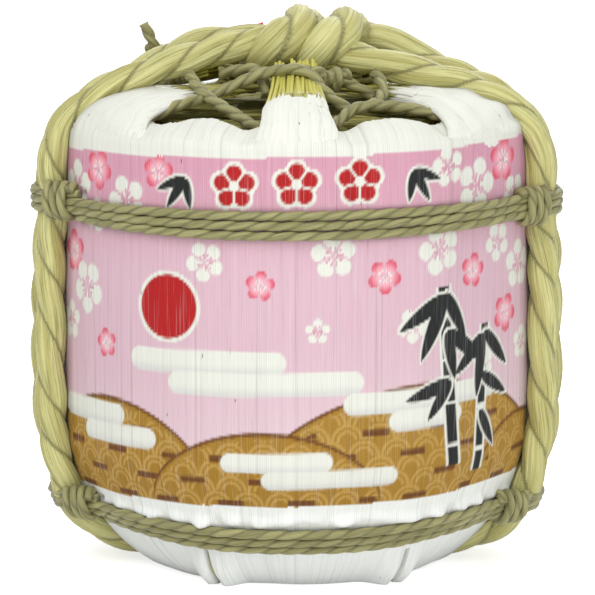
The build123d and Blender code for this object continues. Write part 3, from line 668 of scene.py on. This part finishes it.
def paintedPanel(x, z):
    # colour at places across and up the mat's front
    look = printLook
    climb = np.clip((z - look["low"]) / (look["high"] - look["low"]), 0, 1)[:, None]
    across = np.clip(x / look["halfWidth"] * 0.5 + 0.5, 0, 1)[:, None]
    colour = look["pink"] + (look["deepPink"] - look["pink"]) * smoothStep(0.62, 1, climb)
    colour += (look["palePink"] - colour) * smoothStep(0.55, 0, climb) * (0.45 + 0.5 * across)

    def lay(mask, paint):
        colour[:] += (look[paint] - colour) * np.clip(mask, 0, 1)[:, None]

    for centreX, centreZ, size, turn, red in blossoms:
        near = (np.abs(x - centreX) < size * 1.2) & (np.abs(z - centreZ) < size * 1.2)
        mask, reach, angle = blossomMasks(x[near], z[near], centreX, centreZ, size, turn)
        petal = np.tile(look["white"], (near.sum(), 1))
        if red:
            petal = look["petalPink"] + (look["petalRed"] - look["petalPink"]) * smoothStep(0.35, 1, reach)[:, None]
        local = colour[near]
        local += (petal - local) * mask[:, None]
        spokes = (np.abs(np.sin(angle * 5)) > 0.86) & (reach > 0.12) & (reach < 0.42)
        local[spokes] = look["white" if red else "deepPink"]
        colour[near] = local

    for order, (centreX, crown, halfWidth) in enumerate(hills):
        # a pattern of scales and short brown strokes
        share = np.clip(1 - ((x - centreX) / halfWidth) ** 2, 0, 1)
        depth = look["low"] + crown * share ** 0.55 - z
        inside = smoothStep(-0.5, 0.5, depth) * (np.abs(x - centreX) < halfWidth)
        lay(inside, "ochrePale" if order % 2 else "ochre")
        scale, up = look["scale"], z - look["low"]
        row = np.floor(up / (scale * 0.5))
        cell = (x / scale + 0.5 * (row % 2)) % 1 - 0.5
        ring = np.hypot(cell * scale, up - row * scale * 0.5)
        arcs = np.maximum(smoothStep(0.85, 0.35, np.abs(ring - scale * 0.44)),
                          smoothStep(0.8, 0.3, np.abs(ring - scale * 0.27)))
        lay(inside * arcs * smoothStep(2.5, 3.5, depth), "ochreLight")
        lay(inside * smoothStep(1.7, 1, depth), "brown")
        rows = z / look["strokeRow"]
        strokes = smoothStep(0.8, 0.86, np.abs(np.sin(x * 0.11 + order * 2 + np.floor(rows) * 1.7)))
        lay(inside * strokes * smoothStep(0.18, 0.1, np.abs(rows % 1 - 0.5)) * smoothStep(5, 6, depth), "brown")

    sunX, sunZ, sunSize = sun
    away = np.hypot(x - sunX, z - sunZ)
    lay(smoothStep(sunSize + 1.9, sunSize + 1.3, away), "white")
    lay(smoothStep(sunSize + 0.3, sunSize - 0.3, away), "red")

    for left, right, height, half in mists:
        away = np.hypot(x - np.clip(x, left + half, right - half), z - height)
        body = smoothStep(half + 0.4, half - 0.4, away)
        lay(body, "white")
        lay(body * smoothStep(0, -half, z - height) * 0.55, "mistGrey")

    for centreX, centreZ, size in crests:
        mask, reach, angle = blossomMasks(x, z, centreX, centreZ, size + 1.5, 0.31)
        lay(smoothStep(1.1, 0.9, reach) * smoothStep(0, 0.2, mask + (reach < 0.8)), "white")
        mask, reach, angle = blossomMasks(x, z, centreX, centreZ, size, 0.31)
        lay(mask, "red")
        lay(smoothStep(0.26, 0.2, reach), "white")

    for lowX, highX, low, high, half in stalks:
        share = (z - low) / (high - low)
        away = np.abs(x - lowX - (highX - lowX) * share)
        within = (share > 0) & (share < 1)
        joint = smoothStep(0.05, 0.035, np.abs(((z - low) / look["jointPitch"]) % 1 - 0.5))
        lay(smoothStep(half + 1.6, half + 0.9, away) * within, "white")
        lay(smoothStep(half + 0.4, half - 0.3, away) * within * (1 - joint), "ink")
    for spare, paint in ((look["outline"], "white"), (0, "ink")):
        for rootX, rootZ, angle, length, half in leaves:
            along, aside = cos(radians(angle)), sin(radians(angle))
            forward = (x - rootX) * along + (z - rootZ) * aside
            away = np.abs((z - rootZ) * along - (x - rootX) * aside)
            share = np.clip((forward + spare) / (length + 2 * spare), 0, 1)
            width = (half + spare) * np.sqrt(share) * (1 - share) ** 0.8 * 2
            lay(smoothStep(0.4, -0.3, away - width) * ((share > 0) & (share < 1)), paint)
    return colour


matShape = {
    "columns": 1440, "holeRadius": 17, "footRadius": 64, "baseThickness": 14.4, "bowlTop": 54, "rimHeight": 177,
    "wallStep": 0.95, "straw": 0.06, "strawLevel": 0.05, "slits": (-25.5, 31.5, 92, 149, 211, 270),
    "slitWidth": 2, "slitDepth": 6.5, "slitFrom": 34, "slitTop": 17, "flapPlace": 2.9, "flapWidth": 3.4,
    "flapLift": 5, "hemHeight": 31.6, "hemWidth": 2.1, "hemLift": 1.6, "tuckDrop": 7, "tuckWidth": 5,
    "tuckDepth": 0.5, "tabEdges": (12.5, 39, 73, 107, 141, 167.5), "sink": 3.6, "sinkWidth": 4.6,
    "ropeRoom": {"thickRope": 6.35, "upperBelt": 1.85, "lowerBelt": 1.85}}


def matOutline():
    # outer and inner outline, from the hole in the base up to the lip and back inside, and where the outer face ends
    shape = matShape
    hole, middle, centre = shape["holeRadius"], bowl["centreRadius"], bowl["centreHeight"]
    low = [(hole, shape["baseThickness"] - 0.5), (hole, 7), (hole + 0.3, 1.6), (hole + 1.4, 0.4)]
    base = [(radius, 0) for radius in np.arange(hole + 3, shape["footRadius"] - 1, 1.6)]
    turns = np.linspace(atan2(-centre, shape["footRadius"] - middle),
                        atan2(shape["bowlTop"] - centre, matRadius - middle), 78)
    curve = [(middle + bowl["radius"] * cos(turn), centre + bowl["radius"] * sin(turn)) for turn in turns]
    wall = [(matRadius, height) for height in np.arange(shape["bowlTop"] + 1, shape["rimHeight"], shape["wallStep"])]
    rim = [(99, 177.4), (98.85, 178.8), (98.4, 180.2), (97.6, 181.5), (96.6, 182.7), (95.4, 183.7),
           (94.1, 184.6), (92.6, 185.3), (91, 186), (89.3, 186.6), (87.6, 187.1), (86.2, 187.4)]
    lip = [(85.2, 187.3), (84.4, 186.6), (84.1, 185.6), (84.6, 184.6), (86.5, 183.8), (90, 182.4), (93.4, 180.4),
           (95.3, 176.5)]
    inner = [(95.4, height) for height in (165, 145, 120, 95, 70, 54)] + [
        (93.2, 44), (88, 36), (82.5, 28.5), (75, 21.6), (67, 17.6), (58, 14.4), (40, 14.4), (25, 14.4)]
    outer = low + base + curve + wall + rim
    return np.array(outer + lip + inner), len(low), len(outer)


# how far round a rope the skin is looked at and darkened, how dark it gets, and how far it moves at most
pressing = {"margin": 12, "reachShare": 2.2, "shade": 0.35, "most": 13}


def pressedIn(points, inward, shade, corners, reach, rows):
    # moves the skin in until a rope has room, and darkens it there with painted shadow
    line = smoothRoute(corners, 2)[0]
    tree = KDTree(len(line))
    for index, place in enumerate(line):
        tree.insert(place, index)
    tree.balance()
    tangents = unit(np.gradient(line, axis=0))
    low, high = line.min(axis=0) - pressing["margin"], line.max(axis=0) + pressing["margin"]
    for row, column in np.argwhere(rows[:, None] & np.all((points > low) & (points < high), axis=-1)):
        place, way = points[row, column], inward[row, column]
        _, index, away = tree.find(place)
        if away > reach * pressing["reachShare"]:
            continue
        offset = place - line[index]
        offset = offset - tangents[index] * np.dot(offset, tangents[index])
        distance = np.linalg.norm(offset)
        closeness = min(max(2 - distance / reach, 0), 1)
        shade[row, column] = min(shade[row, column], 1 - pressing["shade"] * closeness)
        if distance < reach:
            slope = np.dot(offset, way)
            depth = sqrt(max(slope ** 2 - distance ** 2 + reach ** 2, 0)) - slope
            points[row, column] = place + way * min(depth, pressing["most"])


def makeMat():
    shape = matShape
    outline, outerStart, outerEnd = matOutline()
    rows, columns = len(outline), shape["columns"]
    straws = columns // 2
    isOuter = (np.arange(rows) >= outerStart) & (np.arange(rows) < outerEnd)
    outerColumn = isOuter[:, None]
    out, height = outline[:, :1], outline[:, 1:]
    tangent = unit(np.gradient(outline, axis=0))
    normalOut, normalUp = tangent[:, 1:], -tangent[:, :1]
    along = lengthAlong(outline)[:, None]
    turn = np.linspace(-pi, pi, columns, endpoint=False)[None, :]

    # single straws: a ridge and a furrow each, every straw on its own level
    dice = np.random.default_rng(11)
    level = np.repeat(np.clip(dice.normal(0, 1, straws), -1.6, 1.6), 2)[None, :]
    furrow = np.tile([0.5, -0.5], straws)[None, :]
    drift = wave(along * 0.05 + level * 3, 5)
    lift = shape["straw"] * furrow + shape["strawLevel"] * (0.6 * level + 0.5 * drift)
    # the drum isn't quite round, and is a little flattened in broad facets
    lift = lift + 0.45 * wave(turn * 3, 21) + 0.25 * wave(turn * 7 + along * 0.01, 22)
    # a gathered ridge above the lower belt, and a shallow tuck below it
    overHem = height - shape["hemHeight"] - 1.2 * np.sin(turn * 2 + 0.6) - 0.9 * wave(turn * 9, 31)
    hem = np.exp(-(overHem / shape["hemWidth"]) ** 2) * (0.9 + 0.7 * wave(turn * 22, 32))
    tuck = np.exp(-((overHem + shape["tuckDrop"]) / shape["tuckWidth"]) ** 2)
    lift = lift + shape["hemLift"] * hem - shape["tuckDepth"] * tuck
    lift = lift * np.where(outerColumn, 1, 0.35) * smoothStep(184, 172, height)
    lift = lift + 0.5 * smoothStep(178, 184, height) * wave(turn * 11 + height * 0.3, 47)

    # corners of the folded base flaps stand out beside the slits
    slitAway = np.min([np.abs((np.degrees(turn) - slit + 180) % 360 - 180) for slit in shape["slits"]], axis=0)
    flap = np.exp(-((slitAway - shape["flapPlace"]) / shape["flapWidth"]) ** 2) * smoothStep(20, 7, height)
    lift = lift + shape["flapLift"] * flap * outerColumn
    slit = (np.radians(slitAway) * out < shape["slitWidth"] / 2) & outerColumn
    slit = slit & (out > shape["slitFrom"]) & (height < shape["slitTop"])
    lift = np.where(slit, -shape["slitDepth"], lift)

    # the rim sinks beside every tab, where the lacing goes in
    aside = np.abs(np.degrees(turn))
    sunk = sum(np.exp(-((aside - edge) / shape["sinkWidth"]) ** 2) for edge in shape["tabEdges"])
    sunk = shape["sink"] * np.minimum(sunk, 1) * smoothStep(178, 185, height)
    # the lip between the tabs is ragged
    ragged = 0.35 * np.repeat(dice.normal(0, 1, straws), 2) + 1.3 * wave(turn * 14, 41)
    isLip = (np.arange(rows) >= outerEnd - 4) & (np.arange(rows) < outerEnd + 6)
    ragged = ragged * isLip[:, None] * smoothStep(91, 85, out)
    radius = out + lift * normalOut - ragged
    up = np.maximum(height + lift * normalUp - sunk, 0.03) - np.abs(ragged) * 0.35

    points, inward = ringed(radius, turn, up), ringed(-normalOut, turn, -normalUp)
    shade = np.ones(points.shape[:2])
    for name, reach in shape["ropeRoom"].items():
        pressedIn(points, inward, shade, ropes[name][1], reach, isOuter)

    x = turn * matRadius + 0 * along
    z = points[..., 2] - printLook["tilt"] * x
    printed = (np.abs(x) < printLook["halfWidth"] + 0.8 * wave(z * 0.7, 51)) & outerColumn
    printed = printed & (z < printLook["high"] + 0.03 * level) & (z > printLook["low"] + 0.03 * level)
    paint = np.empty((*points.shape[:2], 4))
    # painted light: the white turns brighter towards the foot, which faces down and gets little lamp light
    footLight = smoothStep(70, 20, points[..., 2:])
    paint[..., :3] = printLook["white"] + (printLook["footLitWhite"] - printLook["white"]) * footLight
    paint[printed, :3] = paintedPanel(x[printed], z[printed])
    paint[..., :3] *= (1 + 0.02 * level)[..., None]
    # how much the paint covers: less inside, where it ran over the lip, none in the slits
    nearLip = (np.arange(rows) < outerEnd + 5)[:, None]
    paint[..., 3] = np.where(outerColumn, 1, np.where(nearLip, 0.55, 0))
    paint[slit, 3] = 0
    paint[(out[:, 0] < 58) & isOuter, :, 3] = 0.6
    # painted shade in the foot's slits and in each straw's furrow
    shade = np.where(slit, 0.45, shade) * (1 - 0.1 * (furrow < 0))
    fibre = grid(matRadius * np.sin(turn), matRadius * np.cos(turn), along * 0.03 + level * 0.4)
    addPiece("strawMat", points, gridFaces(rows, columns, closedRows=True), paintedStraw,
             {"fibre": fibre, "shade": shade, "paint": paint}, "straw_mat")


makeMat()
print("mat made")


def strawTube(centre, girth, dice, steps, paintEnd):
    # one straw of six sides, painted up to about paintEnd of its steps
    sides, cut, white = 6, matLook["cut"], printLook["white"]
    turn = fullTurn(sides)
    points = skinRound(centre, turn, girth[:, None], 0.8)
    last = (len(centre) - 1) * sides
    ends = [(last, last + 1, last + 2, last + 3), (last + 3, last + 4, last + 5, last), (5, 4, 3, 2), (2, 1, 0, 5)]
    edge = paintEnd + 0.05 * dice.normal()
    cover = smoothStep(edge + 0.05, edge - 0.05, steps)[:, None, None]
    tint = min(1 + 0.05 * dice.normal(), 1.05)
    paint = np.ones((len(centre), sides, 4))
    paint[..., :3] = (cut + (white - cut) * cover) * tint
    along = np.linspace(0, 60 * 0.035, len(centre))[:, None]
    fibre = grid(np.cos(turn) + dice.random() * 90, np.sin(turn), along)
    faces = np.vstack([gridFaces(len(centre), sides), ends])
    return points, faces, {"fibre": fibre, "shade": np.ones(fibre.shape[:2]), "paint": paint}


tabs = {
    "upright": {
        "route": [(97.4, 172), (98.5, 178.5), (98.2, 183), (96.2, 187.4), (92.4, 191.8), (88.2, 195.4), (83, 197.6),
                  (76, 198.4), (67, 198.8), (57, 199.8), (47, 202), (41, 205), (38, 208)],
        "widths": [33, 33, 32, 30, 27, 25, 23, 22, 21, 20, 19, 18, 17], "crowns": (3, 2.2, 1.6),
        "blockEnd": 0.53, "strawStart": 0.4, "paintEnd": 0.51, "layers": 3, "thickness": 4.8},
    "pressed": {
        "route": [(97.2, 171), (98.5, 177), (98.4, 181), (97, 184.6), (94, 188.2), (89, 191.4), (82, 193.8),
                  (74, 195.2), (65, 195.8), (56, 195.8), (48, 195.4), (36, 195), (22, 195)],
        "widths": [62, 62, 62, 60, 56, 51, 45, 39, 34, 29, 24, 18, 14], "crowns": (5.2, 4.4, 1.4),
        "blockEnd": 0.79, "strawStart": 0.66, "paintEnd": 0.8, "layers": 4, "thickness": 6},
    "places": (("upright", 0), ("pressed", 56), ("rear", 124), ("upright", 180), ("rear", 236), ("pressed", 304)),
    "strawWidth": 1.25, "rings": 44, "ridge": 0.07, "sides": 168, "strawRings": 20, "ropeReach": 6.4}
tabs["rear"] = dict(tabs["pressed"], blockEnd=0.72, strawStart=0.6, paintEnd=0.72, route=[
    *tabs["pressed"]["route"][:8], (65, 196.2), (54, 197.6), (42, 200.4), (29, 204.4), (17, 208)],
    widths=[62, 62, 62, 60, 56, 51, 45, 41, 38, 35, 32, 29, 26])


def tabLine(tab, steps):
    # radius, height, width, crown and upward direction along a tab, its folds rounded
    share = np.linspace(0, 1, len(tab["route"]))
    line = np.stack([np.interp(steps, share, numbers) for numbers in zip(*tab["route"])], axis=1)
    for _ in range(3):
        line[1:-1] = (line[:-2] + 2 * line[1:-1] + line[2:]) / 4
    tangent = unit(np.gradient(line, axis=0))
    return (line[:, 0], line[:, 1], np.interp(steps, share, tab["widths"]),
            np.interp(steps, (0, 0.3, 0.7), tab["crowns"]), np.stack([tangent[:, 1], -tangent[:, 0]], axis=1))


def turned(points, angle):
    x, y, z = np.moveaxis(points, -1, 0)
    return grid(x * cos(angle) - y * sin(angle), x * sin(angle) + y * cos(angle), z)


def tabBlock(azimuth, tab, seed):
    # the painted part of a tab: one pressed block of straws
    dice = np.random.default_rng(seed)
    sides, half = tabs["sides"], tabs["sides"] // 2
    steps = np.linspace(0, tab["blockEnd"], tabs["rings"])
    radius, height, width, crown, up = tabLine(tab, steps)
    turn = fullTurn(sides)[0]
    across = np.sign(np.cos(turn)) * np.abs(np.cos(turn)) ** 0.55 / 2
    straws = np.repeat(dice.normal(0, 1, half), 2)
    ridge = tabs["ridge"] * (np.tile([1, -1], half) + 0.8 * straws)
    thick = np.sign(np.sin(turn)) * (np.abs(np.sin(turn)) ** 0.7 * tab["thickness"] / 2 + ridge)
    wrinkle = 0.35 * wave(steps * 14, seed)[:, None] * wave(across * 6 + 1, seed + 3)
    depth = thick - tab["thickness"] / 2 + wrinkle - crown[:, None] * (2 * across) ** 2
    side = across * width[:, None] + 0.25 * wave(steps * 9, seed + 1)[:, None]
    pace = np.gradient(radius)[:, None]
    frayed = smoothStep(0.8, 1, steps / tab["blockEnd"])[:, None] * 0.8 * straws
    frayed = frayed * pace / max(abs(pace[-1, 0]), 1e-3)
    points = grid(side, -(radius[:, None] + depth * up[:, :1]) - frayed, height[:, None] + depth * up[:, 1:])
    shade = np.ones(depth.shape)
    route = turned(np.array(ropes["thickRope"][1], float), -radians(azimuth))
    pressedIn(points, grid(0 * depth, up[:, :1], -up[:, 1:]), shade, route, tabs["ropeReach"],
              np.ones(len(steps), bool))
    faces = gridFaces(len(steps), sides)
    end = np.array([(i, i + 1, sides - i - 2, sides - i - 1) for i in range(half - 1)])
    faces = np.vstack([faces, end, end[:, ::-1] + (len(steps) - 1) * sides])
    edge = tab["blockEnd"] * (0.93 + 0.03 * straws)
    paint = np.empty((*depth.shape, 4))
    paint[..., :3] = printLook["white"] * (1 + 0.02 * straws)[None, :, None]
    paint[..., 3] = smoothStep(edge + 0.02, edge - 0.02, steps[:, None])
    along = np.cumsum(np.hypot(np.gradient(radius), np.gradient(height)))[:, None] * 0.035
    return points, faces, {"fibre": grid(side + seed, depth, along), "shade": shade, "paint": paint}


def strawTab(azimuth, tab, seed):
    # straws side by side in layers, that come out of the block and end at their own lengths
    dice = np.random.default_rng(seed)
    count = int(max(tab["widths"][6:]) / tabs["strawWidth"])
    parts = [tabBlock(azimuth, tab, seed)]
    for layer in range(tab["layers"]):
        for index in range(count):
            place = ((index + 0.5 + 0.25 * dice.normal()) / count - 0.5) * 0.94
            steps = np.linspace(tab["strawStart"], 0.92 + 0.08 * dice.random() - 0.04 * layer, tabs["strawRings"])
            radius, height, width, crown, up = tabLine(tab, steps)
            depth = (-1 - crown * (2 * place) ** 2 - layer * 1.25 + 0.28 * dice.normal()
                     + 0.3 * wave(steps * 5, seed * 97 + index))
            across = place * width + 0.5 * wave(steps * 4, seed * 31 + index + layer * 7) * smoothStep(0.3, 1, steps)
            girth = (0.78 + 0.12 * dice.random()) * np.interp(steps, [0, 0.6, 1], [1.1, 0.95, 0.8])
            centre = grid(across, -(radius + depth * up[:, 0]), height + depth * up[:, 1])
            parts.append(strawTube(centre, girth, dice, steps, tab["paintEnd"]))
    points, faces, layers = joined(parts)
    return turned(points, radians(azimuth)), faces, layers


for index, (form, azimuth) in enumerate(tabs["places"]):
    points, faces, layers = strawTab(azimuth, tabs[form], 100 + index)
    addPiece(f"topTab{index + 1}", points, faces, paintedStraw, layers)

slitTips = {"count": 7, "spread": 0.7, "root": (78.6, 14.5), "tip": (70, 2.4)}


def slitStraws():
    # cut straw ends that show in the slits of the foot
    dice = np.random.default_rng(71)
    parts, steps = [], np.linspace(0, 1, 7)
    for slit in matShape["slits"]:
        for _ in range(slitTips["count"]):
            side = slit + slitTips["spread"] * dice.normal()
            start = np.array(polar(side, *slitTips["root"]))
            end = np.array(polar(side + 0.5 * dice.normal(), slitTips["tip"][0] + 0.8 * dice.normal(),
                                 slitTips["tip"][1] + 1.4 * dice.random()))
            line = start + (end - start) * steps[:, None]
            line += np.array(polar(side, 1.2, -0.8)) * np.sin(steps * pi)[:, None]
            parts.append(strawTube(line, np.full(7, 0.75 + 0.2 * dice.random()), dice, steps, -1))
    points, faces, layers = joined(parts)
    addPiece("slitStraws", points, faces, paintedStraw, layers)


slitStraws()
print("tabs made")


def strawHeap(name, node, count, seed, spread, heights, lengths):
    # straws laid in random order in a round heap
    dice = np.random.default_rng(seed)
    parts, along = [], np.linspace(-0.5, 0.5, 9)
    for index in range(count):
        reach, spot = spread * sqrt(dice.random()), 2 * pi * dice.random()
        heading = 0.5 * dice.normal()
        steps = along * dice.uniform(*lengths)
        level = dice.uniform(*heights)
        line = grid(reach * cos(spot) + steps * cos(heading),
                    reach * sin(spot) + steps * sin(heading) + 1.5 * wave(steps * 0.05, index),
                    level + 0.7 * wave(steps * 0.06, index + 9))
        away = np.hypot(line[:, 0], line[:, 1])
        line[:, :2] *= np.minimum(1, spread / np.maximum(away, 1))[:, None]
        parts.append(strawTube(line, np.full(9, 0.9 + 0.5 * dice.random()), dice, along + 0.5, 0))
    points, faces, layers = joined(parts)
    layers.pop("paint")
    addPiece(name, points, faces, looseStraw, layers, node)


def revolvedStraw(name, node, outline):
    # closed ring or disc of packed straw from its half outline
    outline, columns = np.array(outline, float), 240
    turn = fullTurn(columns)
    radius = outline[:, :1] * (1 + 0.002 * np.sin(turn * 57) + 0.0015 * np.sin(turn * 91 + 1))
    points = ringed(radius, turn, outline[:, 1:])
    fibre = grid(90 * np.sin(turn), 90 * np.cos(turn), lengthAlong(outline)[:, None] * 0.04)
    addPiece(name, points, gridFaces(len(outline), columns, closedRows=True), looseStraw,
             {"fibre": fibre, "shade": np.ones(fibre.shape[:2])}, node)


(_, _, low), (edge, _, high) = [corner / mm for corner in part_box("straw_top_pad")]
strawHeap("topStraw", "straw_top_pad", 420, 7, edge - 1, (low + 1.2, high + 1), (40, 110))
strawHeap("middleStraw", None, 220, 8, 31, (194, 203), (18, 40))
(_, _, low), (edge, _, high) = [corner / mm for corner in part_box("straw_packing")]
revolvedStraw("packingStraw", "straw_packing", [
    (81.5, low + 1), (edge - 4, low + 1), (edge - 1, low + 15), (edge - 1, high - 12), (edge - 6, high - 1),
    (84.5, high - 1), (83.8, 120), (82.5, 70)])
(_, _, low), (edge, _, high) = [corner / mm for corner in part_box("straw_base_pad")]
revolvedStraw("baseStraw", "straw_base_pad", [
    (0.4, low), (30, low), (55, low), (66, low + 3.5), (edge - 1.5, high - 1), (edge - 3, high), (30, high),
    (0.4, high)])
print("straw packing made")


# light, middle and dark colour, how much the grain is drawn out, and its size
woodLook = {
    "cedar": (srgb(206, 158, 112), srgb(178, 122, 78), srgb(150, 94, 56), (1000, 1000, 60), 0.12),
    "bamboo": (srgb(206, 192, 128), srgb(178, 162, 92), srgb(140, 122, 62), (300, 300, 1600), 0.3)}


def woodMaterial(name, look):
    light, middle, dark, stretch, scale = look
    sketch = NodeSketch(bpy.data.materials.new(name))
    grain = sketch.scaled(sketch.add("ShaderNodeTexCoord").outputs["Object"], stretch)
    broad = sketch.noise(grain, scale, 3, 0.55)
    fine = sketch.noise(grain, scale * 9, 2, 0.6)
    colour = sketch.mix(sketch.ranged(broad, 0.35, 0.65), middle, light)
    colour = sketch.stain(colour, sketch.ranged(fine, 0.45, 0.3), 0.5, dark)
    return sketch.surface(colour, 0.55, sketch.bump(fine, 0.15, 0.4), 0.3)


cedar = woodMaterial("cedarBoards", woodLook["cedar"])
bamboo = woodMaterial("bambooStrips", woodLook["bamboo"])
for name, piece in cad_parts.items():
    if name.startswith(("stave_", "bottom_board_", "head_b", "bamboo_hoop_")):
        piece.data.materials.clear()
        piece.data.materials.append(bamboo if name.startswith("bamboo") else cedar)
print("cask dressed")


tagLook = {
    "tip": (-13.8, 6, 218.4), "left": (-18.6, 6, 216.2), "low": (-13, 5, 211), "rows": 14, "curl": 0.9,
    "thickness": 0.5, "dark": srgb(196, 48, 74), "light": srgb(222, 84, 106)}


def makeTag():
    # a curled corner of red paper, front and back sheet and a rim between them
    sketch = NodeSketch(bpy.data.materials.new("redPaper"))
    place = sketch.scaled(sketch.add("ShaderNodeTexCoord").outputs["Object"], (1000, 1000, 1000))
    pulp = sketch.noise(place, 1.4, 3)
    colour = sketch.mix(sketch.ranged(pulp, 0.3, 0.7), tagLook["dark"], tagLook["light"])
    paper = sketch.surface(colour, 0.6, sketch.bump(pulp, 0.1, 0.4), 0.3)
    tip, left, low = [np.array(tagLook[key]) for key in ("tip", "left", "low")]
    rows = tagLook["rows"]
    u, v = [share[..., None] for share in np.meshgrid(*[np.linspace(0, 1, rows)] * 2, indexing="ij")]
    sheet = left + (tip - left) * u + (low - tip) * u * v
    curl = -tagLook["curl"] * np.sin(pi * u) * (0.5 + v)
    sheet = sheet + np.concatenate([0 * u, curl, 0.2 * np.sin(u * 5)], axis=-1)
    points = np.concatenate([sheet, sheet + (0, tagLook["thickness"], 0)]).reshape(-1, 3)
    front = gridFaces(rows, rows, closedColumns=False)
    number = np.arange(rows * rows).reshape(rows, rows)
    edge = [*number[:, 0], *number[-1, 1:], *number[-2::-1, -1], *number[0, -2:0:-1]]
    rim = [(one, other, other + rows * rows, one + rows * rows) for one, other in zip(edge, edge[1:] + edge[:1])]
    addPiece("paperTag", points, np.vstack([front, front[:, ::-1] + rows * rows, rim]), paper, None,
             "paper_tag")


makeTag()
print("paper tag made")
